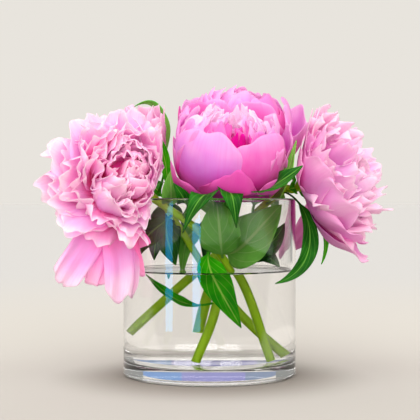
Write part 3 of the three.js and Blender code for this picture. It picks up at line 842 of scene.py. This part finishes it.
def waver(spots, size, seed):
    """Pushes points about by six slow crossing waves, so that a whole head grows unevenly."""
    pushed = spots.copy()
    for k in range(6):
        way = unit([scatter(seed, 10 * k + j) for j in range(3)])
        wave = unit([scatter(seed, 10 * k + j + 3) for j in range(3)]) / (5.5 + 1.2 * k)
        pushed += np.outer(np.sin(spots @ wave + 3 * scatter(seed, 10 * k + 6)), way) * size / 2
    return pushed


def guard_petal(head, k):
    """The k-th of a head's large outer petals."""
    seed = head["seed"]
    azimuth, length, width, start, end = head["guards"][k]
    hanging = end > 90
    return {
        "azimuth": math.radians(azimuth),
        "length": length,
        "width": width,
        "start": math.radians(start),
        "end": math.radians(end),
        "curl": 0,
        "wrap": head["wrap"][0],
        "cup": 0.1 if hanging else 0.2,
        "ruffle": 0.8 * head["ruffle"],
        "crinkle": head["guard_crinkle"],
        "notch": 0.02,
        "lobes": 5,
        "rounding": HANGING_TIP if hanging else TIP_ROUNDING,
        "narrowing": HANGING_TIP if hanging else TIP_NARROWING,
        "fold": 0,
        "cleft": 0.03 * (1 + scatter(seed, k + 700)),
        "split": 0.4 * scatter(seed, k + 800),
        "phase": 3 * scatter(seed, k),
        "twist": 0.15 * scatter(seed, k + 20),
        "root": 6,
        "from": 0.08,
        # A guard's deeper pink is partly its own colour and partly painted shade.
        "depth": head["flushed_and_shaded"].get(k, 0),
        "proud": head["proud"].get(k, 0),
        "guard": True,
    }


def ring_petal(head, level, i):
    """The i-th petal of one of a head's rings, where level 0 is the outermost ring."""
    seed = head["seed"]
    reach, reach_way = head["reach"]
    flush_and_shade, flush_way, flush_width = head["flush_and_shade"]
    count, length, width, start, end, turn = head["rings"][level]
    k = 40 + 30 * level + i
    around = turn + 360 / count * (i + 0.45 * scatter(seed, k))
    swing = head["swing"] * scatter(seed, k + 100)
    swing += head["lean"][0] * math.cos(math.radians(around - head["lean"][1]))
    stretch = 1 + reach * math.cos(math.radians(around - reach_way))
    off = (around - flush_way + 180) % 360 - 180
    # The opening's pink and the inner rings' deeper pink are partly the flower's own colour and
    # partly painted shade.
    deep = flush_and_shade * math.exp(-((off / (flush_width * (1 + level / 2))) ** 2))
    deep += 0.12 * (level + 1) / len(head["rings"])
    if level < OPEN_RINGS:
        stretch -= head["gap"] * math.exp(-((off / flush_width) ** 2))
    return {
        "azimuth": math.radians(around),
        "length": length * stretch * (1 + head["vary"] * scatter(seed, k + 200)),
        "width": width * (1 + 0.2 * scatter(seed, k + 300)),
        "start": math.radians(start + swing),
        "end": math.radians(end + swing),
        "curl": math.radians(head["curl"] * (0.4 + scatter(seed, k + 900))),
        "wrap": head["wrap"][1],
        "cup": 0.2 + 0.2 * scatter(seed, k + 950),
        "ruffle": head["ruffle"],
        "crinkle": head["crinkle"] * (1 + 0.4 * scatter(seed, k + 350)),
        "notch": 0.045,
        "lobes": 8,
        "rounding": INNER_ROUNDING,
        "narrowing": TIP_NARROWING,
        "fold": 0.3 * scatter(seed, k + 970),
        "cleft": 0.08 * (1 + scatter(seed, k + 700)),
        "split": 0.6 * scatter(seed, k + 800),
        "phase": 3 * scatter(seed, k + 400),
        "twist": head["twist"] * scatter(seed, k + 500),
        "root": max(1, 5 - level),
        "from": 0.2,
        "depth": deep - head["pale"] * min(1, level / 2),
        "proud": 0,
        "guard": False,
    }


def petals_of(head):
    """Every petal of a head, outermost first."""
    petals = [guard_petal(head, k) for k in range(len(head["guards"]))]
    for level, ring in enumerate(head["rings"]):
        petals += [ring_petal(head, level, i) for i in range(ring[0])]
    return petals


def mark(piece, name, values):
    """Writes a number for each vertex that the petal's material reads."""
    layer = piece.data.attributes.new(name, "FLOAT", "POINT")
    layer.data.foreach_set("value", np.broadcast_to(values, len(piece.data.vertices)).copy())


def make_head(name, table, skin):
    """Builds a flower head from copies of two petal blanks round a packed middle."""
    head = {**PLAIN_HEAD, **table}
    _, seat, axis = STEMS[name]
    z = unit(axis)
    x = unit(np.array([1, 0, 0]) - z * z[0])
    own = np.array([x, np.cross(z, x), z])
    blanks = {True: blank(*GUARD_FACES), False: blank(*INNER_FACES)}
    pieces = []
    for k, petal in enumerate(petals_of(head)):
        sheet, share, v = blanks[petal["guard"]]
        spots = petal_points(petal, share, v)
        # The root stays on its seat.
        rise = np.clip(share * 1.4 - 0.2, 0, 1)[:, None]
        spots = spots + rise * (waver(spots, head["waver"], head["seed"]) - spots)
        spots = spots @ own + np.array(seat)
        spare = 1.5 + 1.5 * scatter(head["seed"], k + 650)
        piece = copy_shaped(sheet, bend_clear(spots, name, seat, spare))
        mark(piece, "tint", head["tints"].get(k, scatter(head["seed"], k + 600)))
        mark(piece, "depth", petal["depth"])
        pieces.append(piece)
    petals = join_all(pieces, name + "_peony")
    for sheet, _, _ in blanks.values():
        bpy.data.objects.remove(sheet)
    petals.data.materials.append(skin)
    thicken(petals, PETAL_THICKNESS, 0)
    radius, height = head["core"]
    select_only()
    bpy.ops.mesh.primitive_uv_sphere_add(segments=24, ring_count=14, radius=1)
    core = bpy.context.active_object
    bpy.ops.object.shade_smooth()
    balls = np.empty(len(core.data.vertices) * 3)
    core.data.vertices.foreach_get("co", balls)
    balls = balls.reshape(-1, 3) * (radius, radius, height / 2)
    balls[:, 2] += height / 2 + 0.5
    spots = bend_clear(balls @ own + np.array(seat), name, seat, CORE_SPARE)
    core.data.vertices.foreach_set("co", (spots / 1000).ravel())
    mark(core, "tint", 0)
    mark(core, "depth", CORE_DEPTH)
    core.data.uv_layers.active.data.foreach_set("uv", np.tile((0.5, 0.1), len(core.data.loops)))
    core.data.materials.append(skin)
    bloom = join_all([petals, core], name + "_peony")
    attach(bloom, "root")
    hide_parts("bloom_" + name)
    return bloom


def petal_material(name, root, body, tip, cool, climb):
    """Petal tissue: deep pink at the root, paler to the tip, with fine veins and soft patches.

    A petal's tint, from -1 to 1, draws it from the body's colour to the cool one. Its depth draws
    it to the root's colour if it is over 0, and to the frills' white if it is under 0.
    """
    material, tree = new_material(name)
    uv = add_node(tree, "UVMap", {"uv_map": "UVMap"})
    parts = add_node(tree, "SeparateXYZ", None, {0: uv})
    tint = add_node(tree, "Attribute", {"attribute_name": "tint"})
    depth = add_node(tree, "Attribute", {"attribute_name": "depth"})
    place = add_node(tree, "TexCoord")
    # Veins run from root to tip, about 1.3 mm apart on a petal 60 mm wide.
    fan = add_node(
        tree,
        "CombineXYZ",
        None,
        {0: parts.outputs["X"], 1: parts.outputs["Y"], 2: tint.outputs["Fac"]},
    )
    stretched = add_node(tree, "Mapping", {"Scale": (46, 2.6, 9)}, {"Vector": fan})
    veins = add_node(
        tree, "TexNoise", {"Scale": 1.0, "Detail": 3.0, "Roughness": 0.6}, {"Vector": stretched}
    )
    patches = add_node(
        tree, "TexNoise", {"Scale": 38.0, "Detail": 2.0}, {"Vector": place.outputs["Object"]}
    )
    wander = add_node(tree, "Math", {"operation": "MULTIPLY_ADD", 1: 0.5, 2: -0.25}, {0: patches})
    along = add_node(tree, "Math", {"operation": "ADD"}, {0: parts.outputs["Y"], 1: wander})
    rising = add_node(tree, "MapRange", {**SMOOTH, 1: 0.05, 2: climb}, {0: along})
    from_root = add_node(
        tree, "Mix", {"data_type": "RGBA", 6: linear(root), 7: linear(body)}, {0: rising}
    )
    cooler = add_node(
        tree, "MapRange", {1: -1.0, 2: 1.0, 3: 0.0, 4: 0.85}, {0: tint.outputs["Fac"]}
    )
    cooled = add_node(tree, "Math", {"operation": "MULTIPLY"}, {0: cooler, 1: rising})
    at_tip = add_node(tree, "MapRange", {**SMOOTH, 1: 0.5, 2: 1.05}, {0: along})
    vein_share = add_node(tree, "MapRange", {1: 0.45, 2: 0.75, 3: 0.0, 4: 0.14}, {0: veins})
    paleness = add_node(tree, "Math", {"operation": "MULTIPLY", 1: -1.0}, {0: depth.outputs["Fac"]})
    colour = from_root
    # The root's colour drawn in by depth is partly the petals' own deeper pink and partly painted
    # shade.
    for share, next_colour in (
        (cooled, cool),
        (at_tip, tip),
        (vein_share, root),
        (paleness, FRILL_WHITE),
        (depth.outputs["Fac"], root),
    ):
        colour = add_node(
            tree,
            "Mix",
            {"data_type": "RGBA", 7: linear(next_colour)},
            {0: share, 6: colour.outputs[2]},
        )
    bump = add_node(tree, "Bump", {"Strength": 0.35, "Distance": 0.0005}, {"Height": veins})
    tissue = add_node(
        tree,
        "BsdfPrincipled",
        {"Roughness": 0.65, "IOR": 1.4, "Specular IOR Level": 0.2, "Sheen Weight": 0.2},
        {"Base Color": colour.outputs[2], "Normal": bump},
    )
    through = add_node(tree, "BsdfTranslucent", None, {"Color": colour.outputs[2]})
    blend = add_node(tree, "MixShader", {0: PETAL_GLOW}, {1: tissue, 2: through})
    # A petal's shadow is thin and pink, as the light that falls through keeps its colour.
    ray = add_node(tree, "LightPath")
    passing = add_node(
        tree, "Math", {"operation": "MULTIPLY", 1: SHADOW_PASS}, {0: ray.outputs["Is Shadow Ray"]}
    )
    clear = add_node(tree, "BsdfTransparent", None, {"Color": colour.outputs[2]})
    lit = add_node(tree, "MixShader", None, {0: passing, 1: blend, 2: clear})
    add_node(tree, "OutputMaterial", None, {"Surface": lit})
    return material


# What a head's table may say:
# guards: rows of azimuth, length, width, angle from the axis at the root and at the tip.
# rings: rows of count, length, width, the same two angles, turn of the ring.
# seed, waver: its own scatter, and how far the whole head is pushed about, in mm.
# swing, curl, vary: how much ring petals differ in angle, in the curl of the tip and in length.
# lean, reach: how far the rings tip or lengthen to one side, and that side's azimuth.
# flush: how deep the pink is at its opening, partly the flower's own deeper pink and partly painted
# shade in that hollow, the opening's azimuth, and half its width.
# gap: how much shorter the outer rings are there. pale: how white the inner rings are.
# ruffle, crinkle, guard_crinkle: the size of the waves and of the fine crinkles, in mm.
# tints, flushed, proud: tint and depth of single petals, the depth partly their own deeper pink and
# partly painted shade, and how far they stand out, in mm.
# twist, wrap: how far petals turn, and how closely guards and rings curve round the axis.
# core: radius and height of the packed middle.
PLAIN_HEAD = {
    "lean": (0, 0),
    "reach": (0, 0),
    "flush_and_shade": (0, 0, 1),
    "gap": 0,
    "pale": 0,
    "tints": {},
    "flushed_and_shaded": {},
    "proud": {},
    "twist": 0.4,
    "wrap": (0.55, 0.6),
    "vary": 0.09,
}

FRONT = {
    "seed": 11,
    "waver": 1.5,
    "flush_and_shade": (2.0, 280, 26),
    "gap": 0.3,
    "pale": 1.05,
    "tints": {0: 0.9, 1: -0.7, 2: -0.6, 3: -1, 4: 0.3, 5: -0.8, 6: -0.6, 10: 1, 11: 0},
    "flushed_and_shaded": {1: 0.2, 2: 0.7, 3: 0.6, 4: 0.3, 5: 0.5, 6: 0.3},
    "proud": {2: 4.5, 3: 5, 5: 5, 10: -3, 11: -3},
    "twist": 0.3,
    "wrap": (0.85, 0.8),
    "vary": 0.06,
    "ruffle": 2.4,
    "crinkle": 1.9,
    "guard_crinkle": 0.8,
    "swing": 7,
    "curl": 18,
    "core": (22, 30),
    "guards": [
        (242, 107, 99, 96, -42),
        (304, 105, 97, 96, -44),
        (274, 84, 55, 96, -2),
        (311, 78, 48, 96, 6),
        (190, 78, 88, 96, -4),
        (213, 74, 46, 94, 14),
        (350, 84, 92, 96, -8),
        (35, 88, 78, 90, -48),
        (90, 84, 80, 84, -48),
        (145, 88, 78, 88, -48),
        (226, 103, 44, 92, -42),
        (326, 103, 52, 92, -42),
    ],
    "rings": [
        (11, 99, 44, 92, -36, 15),
        (12, 97, 36, 84, -44, 0),
        (14, 90, 29, 74, -46, 0),
        (14, 84, 25, 62, -42, 30),
        (12, 76, 23, 48, -36, 10),
        (8, 63, 21, 32, -28, 50),
    ],
}
rose_petal = petal_material(
    "rose-pink peony petal", "#ea10ba", "#ec3ec2", "#f2c2e8", "#d888e8", 0.8
)
make_head("front", FRONT, rose_petal)


# ---------------- the rear flower head
# An open double peony seen over the front one: a smooth dome of broad overlapping petals, of the
# same rose-pink tissue, all grown from the cup on its stem.

BACK = {
    "seed": 23,
    "waver": 2,
    "flush_and_shade": (0.5, 330, 22),
    "gap": 0.1,
    "pale": 0.4,
    "tints": {0: -0.9, 1: -0.2, 3: -0.7},
    "flushed_and_shaded": {0: 0.65, 1: 0.35},
    "twist": 0.12,
    "wrap": (0.85, 0.95),
    "vary": 0.04,
    "ruffle": 2.4,
    "crinkle": 1.1,
    "guard_crinkle": 0.7,
    "swing": 4,
    "curl": 6,
    "core": (30, 42),
    "guards": [
        (180, 90, 86, 92, -12),
        (222, 96, 84, 92, -14),
        (284, 92, 78, 86, -18),
        (346, 84, 88, 98, 8),
        (28, 94, 86, 92, -6),
        (84, 98, 84, 90, -12),
        (138, 98, 84, 90, -12),
    ],
    "rings": [
        (8, 99, 72, 88, -46, 10),
        (8, 99, 64, 78, -58, 40),
        (7, 90, 56, 62, -60, 0),
        (5, 74, 46, 38, -46, 30),
    ],
}
make_head("back", BACK, rose_petal)


# ---------------- the right flower head
# A fully open, ruffled double peony that leans out over the rim, with smooth guards hanging below.
# It is of a paler kind, whose petals fade to shell pink at their edges.

RIGHT = {
    "seed": 37,
    "waver": 4,
    "reach": (0.04, 270),
    "flush_and_shade": (0.5, 196, 14),
    "pale": 0.5,
    "tints": {0: 0.3, 1: 0.5, 2: 0.3, 3: 0.3, 4: -1.0, 6: -0.8},
    "flushed_and_shaded": {0: 0.3, 1: 0.2, 2: 0.35, 3: 0.15, 4: 0.3, 6: 0.3},
    "wrap": (0.6, 0.6),
    "ruffle": 3.9,
    "crinkle": 1.7,
    "guard_crinkle": 0.6,
    "swing": 9,
    "curl": 20,
    "core": (24, 30),
    "guards": [
        (226, 76, 62, 100, 14),
        (256, 84, 74, 98, 4),
        (292, 84, 68, 102, 16),
        (317, 90, 54, 106, 36),
        (14, 106, 48, 100, 165),
        (345, 74, 62, 104, 36),
        (200, 62, 54, 100, 40),
        (20, 74, 64, 102, 34),
        (62, 72, 62, 98, 30),
        (108, 70, 60, 94, 26),
        (155, 66, 54, 94, 34),
    ],
    "rings": [
        (15, 70, 38, 90, 24, 25),
        (15, 71, 36, 78, 10, 0),
        (13, 72, 34, 62, -6, 20),
        (10, 69, 32, 46, -16, 0),
        (6, 64, 30, 28, -20, 30),
    ],
}
shell_petal = petal_material(
    "shell-pink peony petal", "#e634c8", "#f0a2d2", "#f6e0ea", "#e0a8e2", 0.72
)
make_head("right", RIGHT, shell_petal)


# ---------------- the left flower head
# The largest one, wide open towards the viewer, with long guard petals hanging over the rim. It is
# past its best, so its petals are pale, with the pink left at their roots.

LEFT = {
    "seed": 41,
    "waver": 4.5,
    "lean": (16, 180),
    "reach": (0.09, 150),
    "flush_and_shade": (0, 330, 36),
    "gap": 0.26,
    "tints": {0: 0.9, 1: 0.2, 2: 1.0, 3: -1.0, 11: -1.0},
    "flushed_and_shaded": {0: 0.1, 1: 0.25, 2: 0.1, 3: 0.5, 11: 0.55},
    "ruffle": 4.4,
    "crinkle": 1.2,
    "guard_crinkle": 0.9,
    "swing": 9,
    "curl": 20,
    "core": (18, 26),
    "guards": [
        (246, 94, 27, 100, 116),
        (262, 82, 26, 104, 114),
        (280, 94, 42, 100, 108),
        (308, 84, 46, 100, 96),
        (225, 66, 46, 104, 66),
        (196, 66, 48, 102, 58),
        (166, 68, 48, 100, 54),
        (136, 66, 50, 98, 50),
        (100, 60, 50, 96, 48),
        (60, 50, 50, 96, 46),
        (20, 46, 50, 98, 50),
        (332, 82, 50, 98, 78),
    ],
    "rings": [
        (13, 63, 42, 98, 58, 18),
        (13, 63, 40, 92, 42, 45),
        (12, 62, 38, 87, 22, 0),
        (11, 60, 38, 84, -12, 15),
        (11, 64, 42, 92, -42, 20),
        (10, 58, 36, 82, -50, 0),
        (9, 52, 30, 68, -50, 30),
        (7, 46, 26, 48, -44, 10),
    ],
}
pale_petal = petal_material(
    "pale pink peony petal", "#f24eb8", "#f6bce0", "#fbeef4", "#ecbcea", 0.66
)
make_head("left", LEFT, pale_petal)


# ---------------- the upper left flower head
# A smaller peony behind the left one, of the same kind as the right one. Its petals stand up like
# a fan from the cup on its stem.

REAR_LEFT = {
    "seed": 53,
    "waver": 3,
    "ruffle": 3,
    "crinkle": 1.1,
    "guard_crinkle": 0.8,
    "swing": 8,
    "curl": 30,
    "core": (20, 30),
    "guards": [
        (100, 74, 60, 66, 0),
        (155, 74, 58, 72, 4),
        (208, 66, 54, 78, 12),
        (262, 64, 52, 76, 6),
        (318, 64, 52, 74, 4),
        (30, 70, 56, 68, 2),
    ],
    "rings": [
        (6, 68, 44, 54, -8, 30),
        (5, 68, 38, 40, -12, 0),
        (4, 67, 32, 26, -16, 90),
        (3, 62, 26, 12, -12, 20),
    ],
}
make_head("rear_left", REAR_LEFT, shell_petal)
